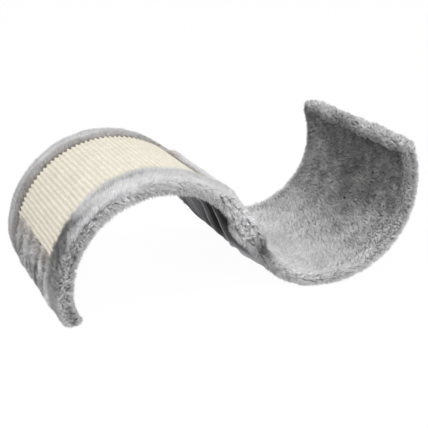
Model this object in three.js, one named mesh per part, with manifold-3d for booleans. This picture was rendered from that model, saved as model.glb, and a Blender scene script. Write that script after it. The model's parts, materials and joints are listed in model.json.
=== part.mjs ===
// Wave-shaped cat scratcher: an arch to walk over and scratch, running on into a cradle to lie in.
// Two bent plywood shells meet end to end under a screwed splice strip. Plush bands wrap the long edges
// and are stapled underneath, plush panels fill in between them, a ribbed sisal mat lies on the arch, and
// one lining cloth closes the underside.
// Millimetres, +Z up, +X from the arch to the cradle, +Y from the front to the rear.
// The origin is on the floor, under the middle of the object.
import * as THREE from "three";
import { mergeVertices } from "three/addons/utils/BufferGeometryUtils.js";
import Module from "manifold-3d";

const wasm = await Module();
wasm.setup();

// Overall form
const WIDTH = 286; // front to rear, over the plush
const ARCH_RADIUS = 128; // to the middle of the board
const CRADLE_RADIUS = 122; // to the middle of the board
const JOIN_ANGLE = 67.5; // degrees from the top of the arch to the join, and on to the cradle's bottom
const LIP_ANGLE = 113; // degrees from the cradle's bottom to the end of its board
const REST_FLAT = 1; // how far the weight presses the pile flat under the cradle

// Boards
const BOARD = 6;
const STRIP_THICKNESS = 3.6;
const STRIP_LENGTH = 44; // along the wave, half of it on each board
const STRIP_MARGIN = 6; // from the hems of the bands to the ends of the strip

// Plush
const PILE = 8; // pile and backing together
const RIM_ROUND = 9; // rounding of the bands' outer corners
const ARCH_BORDER = 50; // from the rim to the sisal mat
const CRADLE_BORDER = 18; // from the rim to the seat panel
const ROLL = 18; // how far the full pile is turned under the board
const HEM = 40; // how far the trimmed hem reaches under the board
const HEM_THICKNESS = 3;
const LIP_ROLL = 15; // width of the rolled edge along the cradle's free end
const LIP_PROUD = 2; // how far that roll stands above the seat
const LIP_ROUND = 7; // rounding of that roll's two ends

// Sisal mat
const APRON = 64; // plush between the foot of the arch and the mat, along the board
const SADDLE = 72; // plush between the mat and the join, along the board
const SADDLE_PROUD = 6; // how far that plush swells above the rest beside the mat
const MAT_GROUND = 5.2; // woven ground of the mat, up to the valleys between its ribs
const RIB_HEIGHT = 1.2;
const RIB_PITCH = 7.1;

const LINING = 1.5; // thickness of the lining cloth

// Upholstery staples
const STAPLE_CROWN = 10;
const STAPLE_WIRE = 0.6;
const STAPLE_BAND = 1.2; // width of the flattened wire
const STAPLE_BITE = 4.4; // how deep the legs go into the board
const STAPLE_LINE = 29; // from the edge of the plush to the row of staples
const STAPLE_END = 30; // from the end of a board to the first and the last staple
const ARCH_STAPLES = 7; // along each rim
const CRADLE_STAPLES = 8; // along each rim
const END_STAPLES = 3; // across the foot, and across the lip

// Countersunk wood screws through each board into the splice strip
const SCREWS = 4; // in each board
const SCREW_RADIUS = 1.75;
const SCREW_HEAD_RADIUS = 3.4;
const SCREW_HEAD = 2.2; // height of the countersunk head
const SCREW_SUNK = 0.3; // from the board's face down to the head
const SCREW_SHORT = 0.4; // from the point to the strip's far face
const SCREW_POINT = 1.6;
const SCREW_EDGE = 11; // from the strip's long edges to the rows of screws
const SCREW_MARGIN = 22; // from the strip's ends to the outer screws

const GAP = 0.3; // clearance between pieces that touch
const FACET = 5; // degrees of arc in one flat facet

// Heights along the wave's normal, from the middle of the board, positive on the upper side
const FACE = BOARD / 2 + GAP;
const TOP = BOARD / 2 + PILE;
const HEM_LOW = -(FACE + HEM_THICKNESS);
const CROWN_LOW = HEM_LOW - GAP - STAPLE_WIRE;
const STRIP_LOW = -(FACE + STRIP_THICKNESS);
const LINING_HIGH = Math.min(CROWN_LOW, STRIP_LOW) - GAP;

// Half widths, from the middle plane
const RIM = WIDTH / 2;
const BOARD_EDGE = RIM - PILE;
const ROLL_EDGE = RIM - ROLL;
const HEM_EDGE = RIM - HEM;
const ARCH_SEAM = RIM - ARCH_BORDER;
const CRADLE_SEAM = RIM - CRADLE_BORDER;
const STRIP_EDGE = HEM_EDGE - STRIP_MARGIN;
const FAR = 4 * (ARCH_RADIUS + CRADLE_RADIUS + WIDTH); // larger than the whole object

const rad = THREE.MathUtils.degToRad;
const deg = THREE.MathUtils.radToDeg;

// The two shells. Angles are in the XZ plane, from +X towards +Z, in degrees, and grow from the join to a
// board's free end. The upper side looks away from the arch's centre and towards the cradle's.
const centresApart = ARCH_RADIUS + CRADLE_RADIUS;
const cradleRise = CRADLE_RADIUS + TOP - REST_FLAT;
const archRise = cradleRise - centresApart * Math.cos(rad(JOIN_ANGLE));
const centresAlong = centresApart * Math.sin(rad(JOIN_ANGLE));
const archAlong = (ARCH_RADIUS - CRADLE_RADIUS - centresAlong) / 2;
const arch = {
  x: archAlong,
  z: archRise,
  radius: ARCH_RADIUS,
  up: 1,
  join: 90 - JOIN_ANGLE,
  end: 180 + deg(Math.asin((archRise - PILE) / (ARCH_RADIUS + BOARD / 2))),
};
const cradle = {
  x: archAlong + centresAlong,
  z: cradleRise,
  radius: CRADLE_RADIUS,
  up: -1,
  join: 270 - JOIN_ANGLE,
  end: 270 + LIP_ANGLE,
};

// The angle reached from another one by going a distance along a board, towards its free end.
const onwards = (shell, angle, distance) => angle + deg(distance / shell.radius);
const radiusAt = (shell, height) => shell.radius + shell.up * height;

function pointAt(shell, height, angle) {
  const radius = radiusAt(shell, height);
  return new THREE.Vector2(
    shell.x + radius * Math.cos(rad(angle)),
    shell.z + radius * Math.sin(rad(angle)),
  );
}

const underFloor = onwards(arch, arch.end, 3 * PILE); // where the foot's plush is past the floor
const footRoll = onwards(arch, arch.end, PILE - ROLL); // upper limit of the foot's inner roll
const footHem = onwards(arch, arch.end, PILE - HEM);
const matLow = onwards(arch, arch.end, -APRON);
const matHigh = onwards(arch, arch.join, SADDLE);
const lipRoll = onwards(cradle, cradle.end, PILE - LIP_ROLL);
const lipHem = onwards(cradle, cradle.end, PILE - HEM);

// Solids

function solidOf(geometry) {
  const bare = geometry.index ? geometry.toNonIndexed() : geometry.clone();
  bare.deleteAttribute("normal");
  bare.deleteAttribute("uv");
  const merged = mergeVertices(bare, 1e-3);
  return new wasm.Manifold(
    new wasm.Mesh({
      numProp: 3,
      vertProperties: new Float32Array(merged.attributes.position.array),
      triVerts: new Uint32Array(merged.index.array),
    }),
  );
}

function geometryOf(solid) {
  const mesh = solid.getMesh();
  const geometry = new THREE.BufferGeometry();
  geometry.setAttribute("position", new THREE.BufferAttribute(mesh.vertProperties, 3));
  geometry.setIndex(new THREE.BufferAttribute(mesh.triVerts, 1));
  return geometry.toNonIndexed();
}

const without = (solid, cutters) => cutters.reduce((rest, cutter) => rest.subtract(cutter), solid);

// An outline in the XZ plane, carried from y = front to y = rear.
function prism(points, [front, rear]) {
  const apart = points.filter((point, i) => point.distanceTo(points.at(i - 1)) > 1e-3);
  const outline = new THREE.Shape(apart);
  const geometry = new THREE.ExtrudeGeometry(outline, { depth: rear - front, bevelEnabled: false });
  return solidOf(geometry.rotateX(Math.PI / 2).translate(0, rear, 0));
}

function arcPoints(shell, height, from, to) {
  const count = Math.max(1, Math.ceil(Math.abs(to - from) / FACET));
  return Array.from({ length: count + 1 }, (_, i) =>
    pointAt(shell, height, from + ((to - from) * i) / count),
  );
}

// A slab that follows one shell between two heights, two angles and two places across the width.
function slab(shell, [low, high], [from, to], across) {
  const points = [...arcPoints(shell, high, from, to), ...arcPoints(shell, low, to, from)];
  return prism(points, across);
}

// A sheet that follows both shells without a break, from an angle on the arch to one on the cradle.
function waveSheet([low, high], [archFrom, cradleTo], across) {
  const points = [
    ...arcPoints(arch, high, archFrom, arch.join),
    ...arcPoints(cradle, high, cradle.join, cradleTo),
    ...arcPoints(cradle, low, cradleTo, cradle.join),
    ...arcPoints(arch, low, arch.join, archFrom),
  ];
  return prism(points, across);
}

const middle = (halfWidth) => [-halfWidth, halfWidth];

// The space between two angles about a shell's axis, across the whole width.
function sector(shell, [from, to]) {
  const centre = new THREE.Vector2(shell.x, shell.z);
  return prism([centre, ...arcPoints(shell, shell.up * FAR, from, to)], middle(FAR));
}

const floor = solidOf(new THREE.BoxGeometry(FAR, FAR, FAR).translate(0, 0, -FAR / 2));
const nearHalf = solidOf(new THREE.BoxGeometry(FAR, FAR, FAR).translate(0, -FAR / 2, 0));
const farHalf = solidOf(new THREE.BoxGeometry(FAR, FAR, FAR).translate(0, FAR / 2, 0));

// Boards, screws and staples

// A frame on a shell: x along the wave towards the free end, y along the upper side's normal.
function frameAt(shell, angle, height, y) {
  const place = pointAt(shell, height, angle);
  const out = new THREE.Vector3(Math.cos(rad(angle)), 0, Math.sin(rad(angle)));
  const along = new THREE.Vector3(-out.z, 0, out.x);
  const normal = out.clone().multiplyScalar(shell.up);
  const side = along.clone().cross(normal);
  return new THREE.Matrix4()
    .makeBasis(along, normal, side)
    .setPosition(place.x, y, place.y);
}

const QUARTER_TURN = new THREE.Matrix4().makeRotationY(Math.PI / 2);

function lathe(points) {
  return new THREE.LatheGeometry(points.map(([r, y]) => new THREE.Vector2(r, y)), 12);
}

function screwGeometry() {
  const length = BOARD / 2 - SCREW_SUNK + FACE + STRIP_THICKNESS - SCREW_SHORT;
  return lathe([
    [0, -length],
    [SCREW_RADIUS, SCREW_POINT - length],
    [SCREW_RADIUS, -SCREW_HEAD],
    [SCREW_HEAD_RADIUS, 0],
    [0, 0],
  ]);
}

function screwHole() {
  const through = BOARD + STRIP_THICKNESS + PILE;
  return lathe([
    [0, -through],
    [SCREW_RADIUS + GAP, -through],
    [SCREW_RADIUS + GAP, -SCREW_HEAD],
    [SCREW_HEAD_RADIUS + GAP, 0],
    [SCREW_HEAD_RADIUS + GAP, PILE],
    [0, PILE],
  ]);
}

// The origin of a staple is in the middle of its crown, on the side that faces the hem.
const stapleLeg = GAP + HEM_THICKNESS + GAP + STAPLE_BITE;

function stapleGeometry() {
  const half = STAPLE_CROWN / 2;
  const inner = half - STAPLE_WIRE;
  const outline = new THREE.Shape();
  outline.moveTo(-half, -STAPLE_WIRE);
  outline.lineTo(half, -STAPLE_WIRE);
  outline.lineTo(half, stapleLeg);
  outline.lineTo(inner, stapleLeg);
  outline.lineTo(inner, 0);
  outline.lineTo(-inner, 0);
  outline.lineTo(-inner, stapleLeg);
  outline.lineTo(-half, stapleLeg);
  const geometry = new THREE.ExtrudeGeometry(outline, { depth: STAPLE_BAND, bevelEnabled: false });
  return geometry.translate(0, 0, -STAPLE_BAND / 2);
}

function stapleHole(side) {
  const wide = STAPLE_WIRE + 2 * GAP;
  const geometry = new THREE.BoxGeometry(wide, stapleLeg + 2 * GAP, STAPLE_BAND + 2 * GAP);
  return geometry.translate((side * (STAPLE_CROWN - STAPLE_WIRE)) / 2, stapleLeg / 2, 0);
}

// Places of a number of things between two values, the ends included.
function spread(count, from, to) {
  if (count === 1) return [(from + to) / 2];
  return Array.from({ length: count }, (_, i) => from + ((to - from) * i) / (count - 1));
}

const screwFrames = [arch, cradle].flatMap((shell) => {
  const angle = onwards(shell, shell.join, STRIP_LENGTH / 2 - SCREW_EDGE);
  const reach = STRIP_EDGE - SCREW_MARGIN;
  return spread(SCREWS, -reach, reach).map((y) => ({
    shell,
    frame: frameAt(shell, angle, BOARD / 2 - SCREW_SUNK, y),
  }));
});

const crownAt = HEM_LOW - GAP;

function rimStaples(shell, count, lastAngle) {
  const firstAngle = onwards(shell, shell.join, STAPLE_END);
  return [-1, 1].flatMap((side) =>
    spread(count, firstAngle, lastAngle).map((angle) => ({
      shell,
      frame: frameAt(shell, angle, crownAt, side * (RIM - STAPLE_LINE)),
    })),
  );
}

function endStaples(shell, angle) {
  const reach = HEM_EDGE - STAPLE_END;
  return spread(END_STAPLES, -reach, reach).map((y) => ({
    shell,
    frame: frameAt(shell, angle, crownAt, y).multiply(QUARTER_TURN),
  }));
}

const footStapleLine = onwards(arch, arch.end, PILE - STAPLE_LINE);
const lipStapleLine = onwards(cradle, cradle.end, PILE - (LIP_ROLL + HEM) / 2);
const staples = [
  ...rimStaples(arch, ARCH_STAPLES, onwards(arch, arch.end, -STAPLE_END)),
  ...rimStaples(cradle, CRADLE_STAPLES, onwards(cradle, cradle.end, -STAPLE_END)),
  ...endStaples(arch, footStapleLine),
  ...endStaples(cradle, lipStapleLine),
];

const holesFor = (shell) => ({
  screws: screwFrames
    .filter((screw) => screw.shell === shell)
    .map(({ frame }) => solidOf(screwHole().applyMatrix4(frame))),
  staples: staples
    .filter((staple) => staple.shell === shell)
    .flatMap(({ frame }) => [-1, 1].map((side) => solidOf(stapleHole(side).applyMatrix4(frame)))),
});
arch.holes = holesFor(arch);
cradle.holes = holesFor(cradle);

function boardSolid(shell) {
  const start = onwards(shell, shell.join, GAP / 2);
  const board = slab(shell, [-BOARD / 2, BOARD / 2], [start, shell.end], middle(BOARD_EDGE));
  return without(board, [...shell.holes.screws, ...shell.holes.staples]);
}

function stripSolid() {
  const archFrom = onwards(arch, arch.join, STRIP_LENGTH / 2);
  const cradleTo = onwards(cradle, cradle.join, STRIP_LENGTH / 2);
  const strip = waveSheet([STRIP_LOW, -FACE], [archFrom, cradleTo], middle(STRIP_EDGE));
  return without(strip, [...arch.holes.screws, ...cradle.holes.screws]);
}

// Plush

// The room that the board, the trimmed hems and the lining take on the inside of a shell's plush.
function innerRoom(shell, rollAngle, hemAngle) {
  const start = onwards(shell, shell.join, -GAP);
  const boardEnd = onwards(shell, shell.end, GAP);
  const under = -TOP - GAP;
  return [
    slab(shell, [-FACE, FACE], [start, boardEnd], middle(BOARD_EDGE + GAP)),
    slab(shell, [under, HEM_LOW], [start, rollAngle], middle(ROLL_EDGE)),
    slab(shell, [under, 0], [start, hemAngle], middle(HEM_EDGE)),
    ...shell.holes.staples,
  ];
}

// Plush all round a shell, with rounded rims, from the join to an angle.
function plushRound(shell, to) {
  const quarter = spread(4, 0, Math.PI / 2).map((turn) => [
    RIM_ROUND * (1 - Math.sin(turn)),
    RIM_ROUND * (1 - Math.cos(turn)),
  ]);
  const corner = (height, y) =>
    quarter.map(([drop, inset]) => {
      const radius = radiusAt(shell, Math.sign(height) * (Math.abs(height) - drop));
      return new THREE.Vector2(radius, Math.sign(y) * (Math.abs(y) - inset));
    });
  const profile = [
    ...corner(TOP, -RIM),
    ...corner(TOP, RIM).reverse(),
    ...corner(-TOP, RIM),
    ...corner(-TOP, -RIM).reverse(),
  ];
  if (shell.up < 0) profile.reverse();
  profile.push(profile[0].clone());
  const whole = new THREE.LatheGeometry(profile, Math.ceil(360 / FACET)).translate(shell.x, 0, shell.z);
  const start = onwards(shell, shell.join, GAP / 2);
  return solidOf(whole).intersect(sector(shell, [start, to])).subtract(floor);
}

const archPlush = without(plushRound(arch, underFloor), innerRoom(arch, footRoll, footHem));
const archFace = (halfWidth) =>
  slab(arch, [-2 * TOP, 2 * TOP], [arch.join - FACET, underFloor + FACET], middle(halfWidth));
const archRims = archPlush.subtract(archFace(ARCH_SEAM));
const footLimit = onwards(arch, matLow, GAP);
const footPlush = archPlush
  .intersect(archFace(ARCH_SEAM - GAP))
  .intersect(sector(arch, [footLimit, underFloor]));

const rimsEnd = onwards(cradle, lipRoll, -GAP);
const cradlePlush = without(plushRound(cradle, rimsEnd), innerRoom(cradle, lipRoll, lipRoll));
const seatRoom = slab(
  cradle,
  [BOARD / 2, 2 * TOP],
  [cradle.join - FACET, cradle.end + FACET],
  middle(CRADLE_SEAM),
);
const cradleRims = cradlePlush.subtract(seatRoom);

// The saddle swells up steeply beside the mat and runs out flat towards the join.
function saddleSolid() {
  const from = onwards(arch, arch.join, GAP / 2);
  const to = onwards(arch, matHigh, -GAP);
  const steps = 2 * Math.ceil((to - from) / FACET);
  const upper = spread(steps + 1, to, from).map((angle, i) => {
    const swell = Math.sin(Math.PI * Math.sqrt(i / steps)) ** 0.8;
    return pointAt(arch, TOP + SADDLE_PROUD * swell, angle);
  });
  return prism([...upper, ...arcPoints(arch, FACE, from, to)], middle(ARCH_SEAM - GAP));
}

function seatSolid() {
  const from = onwards(cradle, cradle.join, GAP / 2);
  return slab(cradle, [FACE, TOP], [from, rimsEnd], middle(CRADLE_SEAM - GAP));
}

// The roll over the cradle's free end: full width, round along its edge and at both ends, with a hem.
function lipSolid() {
  const round = TOP + LIP_PROUD / 2;
  const turn = onwards(cradle, cradle.end, PILE - round);
  const centre = pointAt(cradle, LIP_PROUD / 2, turn);
  const arc = spread(9, turn + 180, turn).map((angle) => {
    const out = new THREE.Vector2(Math.cos(rad(angle)), Math.sin(rad(angle)));
    return centre.clone().addScaledVector(out, round - LIP_ROUND);
  });
  const core = [
    pointAt(cradle, LIP_ROUND - TOP, lipRoll),
    ...arc.reverse(),
    pointAt(cradle, TOP + LIP_PROUD - LIP_ROUND, lipRoll),
  ];
  const roll = new THREE.ExtrudeGeometry(new THREE.Shape(core), {
    depth: WIDTH - 2 * LIP_ROUND,
    bevelThickness: LIP_ROUND,
    bevelSize: LIP_ROUND,
    bevelSegments: 4,
  });
  roll.rotateX(Math.PI / 2).translate(0, RIM - LIP_ROUND, 0);
  const hem = slab(cradle, [HEM_LOW, 0], [lipHem, cradle.end], middle(HEM_EDGE - GAP));
  const boardEnd = onwards(cradle, cradle.end, GAP);
  const board = slab(cradle, [-FACE, FACE], [cradle.join, boardEnd], middle(BOARD_EDGE + GAP));
  const plush = solidOf(roll).intersect(sector(cradle, [lipRoll, lipRoll + 90])).add(hem);
  return without(plush, [board, ...cradle.holes.staples]);
}

// The mat's ribs run across the width, and their tops are round.
function matSolid() {
  const ground = FACE + MAT_GROUND;
  const length = rad(matLow - matHigh) * radiusAt(arch, ground);
  const ribs = Math.max(1, Math.round(length / RIB_PITCH));
  const steps = 6;
  const upper = spread(ribs * steps + 1, matHigh, matLow).map((angle, i) => {
    const round = Math.sin((Math.PI * (i % steps)) / steps) ** 0.6;
    return pointAt(arch, ground + RIB_HEIGHT * round, angle);
  });
  return prism([...upper, ...arcPoints(arch, FACE, matLow, matHigh)], middle(ARCH_SEAM - GAP));
}

function liningSolid() {
  const archFrom = onwards(arch, footRoll, -GAP);
  const across = middle(ROLL_EDGE - GAP);
  return waveSheet([LINING_HIGH - LINING, LINING_HIGH], [archFrom, rimsEnd], across);
}

// Materials
const look = (color, roughness, metalness = 0) =>
  new THREE.MeshStandardMaterial({ color, roughness, metalness });
const plush = () => look(0xc6c5c4, 0.95);
const sisal = () => look(0xe3dac8, 0.9);
const cloth = () => look(0x55565b, 0.9);
const plywood = () => look(0xc8a675, 0.7);
const steel = () => look(0x9ea1a5, 0.35, 1);

// Assembly
const scratcher = new THREE.Group();
scratcher.name = "wave_cat_scratcher";

function add(name, geometry, material) {
  const mesh = new THREE.Mesh(geometry, material);
  mesh.name = name;
  scratcher.add(mesh);
}

add("arch_shell", geometryOf(boardSolid(arch)), plywood());
add("cradle_shell", geometryOf(boardSolid(cradle)), plywood());
add("splice_strip", geometryOf(stripSolid()), plywood());
screwFrames.forEach(({ frame }, i) => {
  add(`splice_screw_${i + 1}`, screwGeometry().applyMatrix4(frame), steel());
});
add("arch_front_band", geometryOf(archRims.intersect(nearHalf)), plush());
add("arch_rear_band", geometryOf(archRims.intersect(farHalf)), plush());
add("foot_panel", geometryOf(footPlush), plush());
add("saddle_panel", geometryOf(saddleSolid()), plush());
add("sisal_mat", geometryOf(matSolid()), sisal());
add("cradle_front_band", geometryOf(cradleRims.intersect(nearHalf)), plush());
add("cradle_rear_band", geometryOf(cradleRims.intersect(farHalf)), plush());
add("seat_panel", geometryOf(seatSolid()), plush());
add("lip_band", geometryOf(lipSolid()), plush());
add("underside_lining", geometryOf(liningSolid()), cloth());
staples.forEach(({ frame }, i) => {
  add(`staple_${i + 1}`, stapleGeometry().applyMatrix4(frame), steel());
});

export default scratcher;
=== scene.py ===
"""Looks of the wave cat scratcher: plush with a real pile, a ribbed sisal mat and a creased lining."""
import json
import math

import bmesh
import bpy
import numpy as np
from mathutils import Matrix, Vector


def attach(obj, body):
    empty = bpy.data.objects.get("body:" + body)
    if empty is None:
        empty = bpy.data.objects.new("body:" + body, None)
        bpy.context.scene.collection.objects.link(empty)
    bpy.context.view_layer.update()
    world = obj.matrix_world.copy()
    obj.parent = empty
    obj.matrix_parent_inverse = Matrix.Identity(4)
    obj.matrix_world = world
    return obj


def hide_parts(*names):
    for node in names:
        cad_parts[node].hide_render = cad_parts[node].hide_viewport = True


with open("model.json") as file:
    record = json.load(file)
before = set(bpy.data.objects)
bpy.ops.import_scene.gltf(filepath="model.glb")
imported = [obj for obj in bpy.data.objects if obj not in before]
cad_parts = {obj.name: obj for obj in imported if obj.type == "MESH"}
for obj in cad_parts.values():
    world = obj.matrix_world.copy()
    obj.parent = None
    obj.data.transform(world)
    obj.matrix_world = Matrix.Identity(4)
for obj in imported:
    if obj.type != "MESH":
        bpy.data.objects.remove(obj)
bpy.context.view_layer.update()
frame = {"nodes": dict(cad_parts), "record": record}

scene = bpy.context.scene

# Sizes of the solids, in metres
ARCH_RADIUS = 0.128  # to the middle of the board
CRADLE_RADIUS = 0.122
JOIN_ANGLE = math.radians(67.5)  # from the top of the arch to the join, and on to the cradle's bottom
LIP_ANGLE = math.radians(113)  # from the cradle's bottom to the end of its board
REST_FLAT = 0.001  # pile pressed flat under the cradle
RIM = 0.143  # half the width over the plush
BOARD = 0.006
PILE = 0.008  # pile and backing together
ROUND = 0.009  # rounding of the rims
ROLL = 0.018  # how far the pile is turned under
HEM = 0.040  # how far the bare hem reaches under
ARCH_BORDER = 0.050  # from the rim to the mat
CRADLE_BORDER = 0.018  # from the rim to the seat
APRON = 0.064  # plush between the foot and the mat
SADDLE = 0.072  # plush between the mat and the join
SADDLE_PROUD = 0.006  # its swell beside the mat
LIP_WIDTH = 0.015  # width of the rolled edge
LIP_PROUD = 0.002  # how far it stands over the seat
LIP_ROUND = 0.007  # rounding of its two ends
MAT_GROUND = 0.0052
RIB_HEIGHT = 0.0012
RIB_PITCH = 0.0071
GAP = 0.0003  # between neighbouring pieces

# Sizes of the looks
ROOTS = 0.006  # from the tips of the pile down to its roots
HAIR = 0.00037  # half the width of a hair at its root
HAIRS = 1.3e6  # on each square metre
LOCK = 0.0022  # size of the locks that the hairs gather into
BAND_LOCK = 0.002
FOOT_LOCK = 0.0023
LIP_LOCK = 0.003
SWELL = (0.0007, 0.026)  # height and width of the swells in a pile
LIP_SWELL = (0.0032, 0.022)
CLOTH = 0.0013  # thickness of the plush's backing
HEM_LOW = 0.0062  # from the board's middle to the hem's outer side
HEM_TURN = 0.003  # from the end of the roll to where the hem lies flat
LINING_IN = 0.0075  # from the board's middle to the lining
LINING = 0.0015  # thickness of the lining
FOOT_DROP = 0.0125  # plush of the foot past the end of its board
FOOT_ROUND = 0.0065
TUCK = 0.0015  # how far the pile is drawn in at the join of the bands
TUCK_RUN = 0.006  # length over which it is drawn in
SADDLE_FLUFF = 0.0015  # height of the pile there over its solid
FLOOR_GAP = 0.0003  # how close the pile comes to the floor

# Spacing of the points on the cloths
SECTION_STEP = 0.003
BAND_STEP = 0.005
PANEL_STEP = 0.004
WIDTH_STEP = 0.006

# Places that follow: heights over the middle of the board, and lengths along the wave from the join
TOP = BOARD / 2 + PILE
FACE = BOARD / 2 + GAP
CENTRES_APART = ARCH_RADIUS + CRADLE_RADIUS
CRADLE_Z = CRADLE_RADIUS + TOP - REST_FLAT
ARCH_Z = CRADLE_Z - CENTRES_APART * math.cos(JOIN_ANGLE)
ARCH_X = (ARCH_RADIUS - CRADLE_RADIUS - CENTRES_APART * math.sin(JOIN_ANGLE)) / 2
CRADLE_X = ARCH_X + CENTRES_APART * math.sin(JOIN_ANGLE)
ARCH_JOIN = math.pi / 2 - JOIN_ANGLE
CRADLE_JOIN = 3 * math.pi / 2 - JOIN_ANGLE
ARCH_END = math.pi + math.asin((ARCH_Z - PILE) / (ARCH_RADIUS + BOARD / 2))
FOOT = -ARCH_RADIUS * (ARCH_END - ARCH_JOIN)
FOOT_END = FOOT - FOOT_DROP
FOOT_ROLL = FOOT + ROLL - PILE
LIP = CRADLE_RADIUS * (JOIN_ANGLE + LIP_ANGLE)
LIP_START = LIP + PILE - LIP_WIDTH
LIP_THICK = TOP + LIP_PROUD / 2  # half the roll's thickness
LIP_MIDDLE = (LIP + PILE - LIP_THICK, LIP_PROUD / 2)
MAT_LOW = FOOT + APRON
MAT_HIGH = -SADDLE
MAT_HALF = RIM - ARCH_BORDER - GAP


def wave(s, n, y):
    """Points at a distance s along the wave from the join, a height n over the board's middle, and y."""
    s, n, y = np.broadcast_arrays(s, n, y)
    on_arch = s < 0
    turn = np.where(on_arch, ARCH_JOIN - s / ARCH_RADIUS, CRADLE_JOIN + s / CRADLE_RADIUS)
    radius = np.where(on_arch, ARCH_RADIUS + n, CRADLE_RADIUS - n)
    x = np.where(on_arch, ARCH_X, CRADLE_X) + radius * np.cos(turn)
    z = np.where(on_arch, ARCH_Z, CRADLE_Z) + radius * np.sin(turn)
    return np.stack([x, y, z], axis=-1)


def unit(v):
    return v / np.maximum(np.linalg.norm(v, axis=-1, keepdims=True), 1e-12)


def smooth(x, start, end):
    """A soft step from nothing at the start to one at the end, which may be the lower of the two."""
    t = np.clip((x - start) / (end - start), 0, 1)
    return t * t * (3 - 2 * t)


def span(x, start, full, fading, end):
    """One between two soft steps, and nothing outside them."""
    return smooth(x, start, full) * (1 - smooth(x, fading, end))


def hill(x, centre, width):
    return np.exp(-(((x - centre) / width) ** 2))


def profile(base, hills=(), steps=()):
    """A value along the wave, with hills of (height, centre, width) and steps of (height, start, end)."""

    def value(s):
        total = base + 0.0 * s
        for height, centre, width in hills:
            total = total + height * hill(s, centre, width)
        for height, start, end in steps:
            total = total + height * smooth(s, start, end)
        return total

    return value


# Factors and shifts that scatter the bits of a place and its seed
SCATTER = (73856093, 19349663, 83492791)
SCATTER_SEED = 2654435761
STIR = ((13, 1274126177), (16, 2246822519))
LAST_SHIFT = 15
BITS = 0xFFFFFFFF


def lattice(i, seed):
    """A fixed pseudo-random value from -1 to 1 for each whole-number place."""
    h = seed * SCATTER_SEED
    for axis, factor in enumerate(SCATTER):
        h = h ^ (i[..., axis] * factor)
    for shift, factor in STIR:
        h = (h ^ (h >> shift)) * factor & BITS
    return (h ^ (h >> LAST_SHIFT)) / (BITS // 2) - 1.0


def noise(p, size, seed):
    """Smooth noise from about -1 to 1 with features of the given size."""
    q = p / size
    i = np.floor(q).astype(np.int64)
    f = q - i
    f = f * f * (3 - 2 * f)
    total = 0.0
    for corner in np.ndindex(2, 2, 2):
        weight = 1.0
        for axis, far in enumerate(corner):
            weight = weight * (f[..., axis] if far else 1 - f[..., axis])
        total = total + weight * lattice(i + np.array(corner), seed)
    return total


def flat_noise(a, b, size, seed):
    """Noise over two lengths, with features of size[0] by size[1]."""
    a, b = np.broadcast_arrays(a, b)
    return noise(np.stack([a / size[0], b / size[1], np.zeros_like(a)], axis=-1), 1.0, seed)


def arc(centre, radius, start, end, count=12):
    turns = np.radians(np.linspace(start, end, count))
    return [(centre[0] + radius * math.cos(t), centre[1] + radius * math.sin(t)) for t in turns]


class Path:
    """A line through points of two coordinates, followed by its length."""

    def __init__(self, points):
        self.points = np.array(points)
        steps = np.linalg.norm(np.diff(self.points, axis=0), axis=1)
        self.at = np.concatenate([[0], np.cumsum(steps)])
        self.length = self.at[-1]

    def __call__(self, c):
        return tuple(np.interp(c, self.at, self.points[:, k]) for k in range(2))


class Outline(Path):
    """A line that can also be followed a share of the way in to an inner line."""

    def __init__(self, outer, inner):
        super().__init__(outer)
        self.inner = np.array(inner)

    def __call__(self, c, share=0.0):
        deep = [np.interp(c, self.at, self.inner[:, k]) for k in range(2)]
        return tuple((1 - share) * o + share * i for o, i in zip(super().__call__(c), deep))


# Materials

# Colours, from dark to light or from roots and valleys to tips; the darker roots and valleys are painted
# shade
PLUSH_GREYS = [(0.0, (0.40, 0.397, 0.402)), (0.4, (0.66, 0.656, 0.663)), (1.0, (0.88, 0.876, 0.883))]
PLUSH_WARM = (0.42, 0.34, 0.26, 1)
BACKING_GREYS = [(0.3, (0.36, 0.358, 0.363)), (0.7, (0.48, 0.477, 0.483))]
SISAL_CREAMS = [(0.0, (0.75, 0.70, 0.586)), (0.5, (0.82, 0.775, 0.67)), (1.0, (0.885, 0.847, 0.751))]
SISAL_FIBRES = [(0.3, (0.78, 0.76, 0.72)), (0.62, (1.0, 1.0, 1.0))]
SISAL_WARM = (0.30, 0.20, 0.11, 1)
LINING_GREYS = [(0.3, (0.045, 0.045, 0.047)), (0.7, (0.085, 0.085, 0.088))]
PLYWOOD_BROWNS = [(0.3, (0.45, 0.28, 0.13)), (0.7, (0.66, 0.46, 0.25))]
STEEL_GREYS = [(0.3, (0.45, 0.46, 0.47)), (0.7, (0.62, 0.63, 0.64))]
# Places of a mix's factor and colours among its inputs, and of its result
MIX_INPUTS = (0, 6, 7)
MIX_RESULT = 2


def fill(tree, node, inputs):
    """Sets a node's inputs, or links those that are given another node's output."""
    for name, value in dict(inputs).items():
        if isinstance(value, bpy.types.NodeSocket):
            tree.links.new(value, node.inputs[name])
        else:
            node.inputs[name].default_value = value
    return node


def add_node(tree, kind, inputs=()):
    return fill(tree, tree.nodes.new(kind), inputs)


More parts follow.
